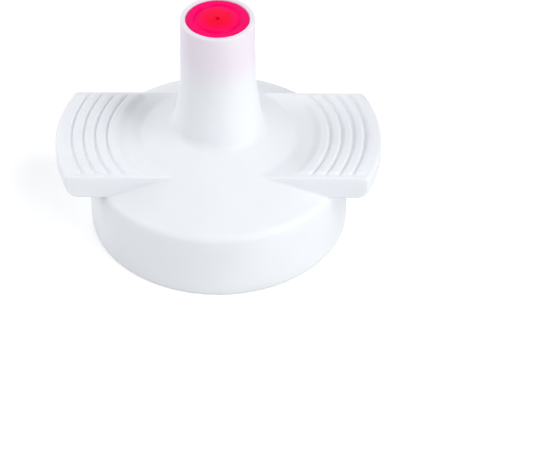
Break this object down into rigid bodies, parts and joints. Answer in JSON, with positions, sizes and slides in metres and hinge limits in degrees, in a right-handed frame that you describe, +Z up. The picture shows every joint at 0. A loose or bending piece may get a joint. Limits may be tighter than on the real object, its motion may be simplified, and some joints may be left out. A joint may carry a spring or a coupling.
{
  "type": "drip emitter",
  "caption": "Take-apart drip emitter: round skirt, conical top, ribbed finger wings for twisting the cap, and an upright nozzle tube that ends in a red flow insert.",
  "frame": {"origin": "centre of the circle that the skirt stands on", "axes": "+Z up the nozzle tube, the wings along +X and -X"},
  "size_m": [0.028, 0.0224, 0.0208],
  "materials": {
    "cap_plastic": "moulded white plastic with a soft gloss, slightly translucent where it is thin",
    "base_plastic": "moulded white plastic, satin",
    "insert_plastic": "translucent red plastic with a gloss",
    "inner_plastic": "dark moulded plastic, satin",
    "black_rubber": "matt rubber",
    "silicone": "milky silicone, matt"
  },
  "bodies": {
    "base": {"base_plate": "base_plastic", "labyrinth_disc": "inner_plastic", "inlet_strainer": "inner_plastic", "inlet_grommet": "black_rubber", "seal_ring": "black_rubber"},
    "cap": {"winged_cap": "cap_plastic", "flow_insert": "insert_plastic"},
    "diaphragm": {"diaphragm": "silicone"}
  },
  "joints": [
    {"name": "cap_twist", "type": "hinge", "parent": "base", "child": "cap", "pos_m": [0, 0, 0], "axis": [0, 0, 1], "range_deg": [0, 50]},
    {"name": "diaphragm_float", "type": "slide", "parent": "base", "child": "diaphragm", "axis": [0, 0, 1], "range_m": [0, 0.00025]}
  ]
}
